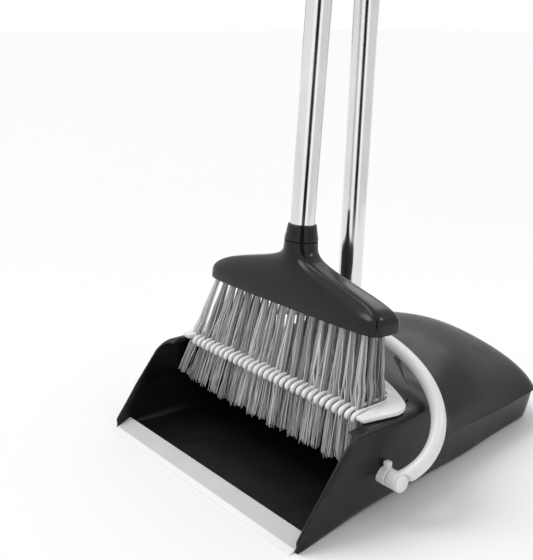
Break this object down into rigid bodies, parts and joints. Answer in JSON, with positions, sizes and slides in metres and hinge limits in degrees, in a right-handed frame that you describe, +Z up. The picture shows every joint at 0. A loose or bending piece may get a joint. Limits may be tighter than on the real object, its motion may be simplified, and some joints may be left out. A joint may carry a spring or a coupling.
{
  "type": "dust pan and brush set",
  "caption": "Upright dust pan with a hood, comb, soft lip and swinging long handle, and a long-handled broom clipped to it with its bristles through the comb.",
  "frame": {"origin": "centre of the pan's flat underside, on the floor", "axes": "+Z up, -Y towards the lip, +Y towards the back of the hood, +X to the right seen from the lip"},
  "size_m": [0.2882, 0.312, 1.2676],
  "materials": {
    "satin_black_plastic": "satin moulded polypropylene",
    "head_black_plastic": "smooth satin-gloss moulded plastic",
    "lip_rubber": "soft matt strip",
    "white_plastic": "smooth white moulding",
    "polished_steel": "polished stainless tube",
    "bristle_grey": "crimped plastic bristle",
    "grip_black": "moulded grip",
    "pin_steel": "pressed pin"
  },
  "bodies": {
    "pan": {"pan_body": "satin_black_plastic", "lip_strip": "lip_rubber", "comb": "white_plastic", "pivot_stub_left": "satin_black_plastic", "pivot_stub_right": "satin_black_plastic", "pivot_bush_left": "white_plastic", "pivot_bush_right": "white_plastic"},
    "handle": {"bail": "white_plastic", "pivot_cap_left": "white_plastic", "pivot_cap_right": "white_plastic", "pan_pole_1": "polished_steel", "pan_pole_2": "polished_steel", "pan_pole_3": "polished_steel", "pan_sleeve_1": "white_plastic", "pan_sleeve_2": "white_plastic", "pan_stud_1": "white_plastic", "pan_stud_2": "white_plastic", "pan_grip": "grip_black", "broom_clip": "grip_black"},
    "broom": {"broom_head": "head_black_plastic", "head_collar": "head_black_plastic", "tuft_plate": "head_black_plastic", "bristle_row_1": "bristle_grey", "bristle_row_2": "bristle_grey", "bristle_row_3": "bristle_grey", "broom_pole_1": "polished_steel", "broom_pole_2": "polished_steel", "broom_pole_3": "polished_steel", "broom_pole_4": "polished_steel", "broom_sleeve_1": "white_plastic", "broom_sleeve_2": "white_plastic", "broom_sleeve_3": "white_plastic", "broom_stud_1": "white_plastic", "broom_stud_2": "white_plastic", "broom_stud_3": "white_plastic", "broom_grip": "grip_black", "grip_pin": "pin_steel"}
  },
  "joints": [
    {"name": "handle_swing", "type": "hinge", "parent": "pan", "child": "handle", "pos_m": [0, -0.068, 0.031], "axis": [1, 0, 0], "range_deg": [0, 90]},
    {"name": "broom_release", "type": "slide", "parent": "handle", "child": "broom", "axis": [0, -0.9991, 0.0419], "range_m": [0, 0.25]}
  ]
}
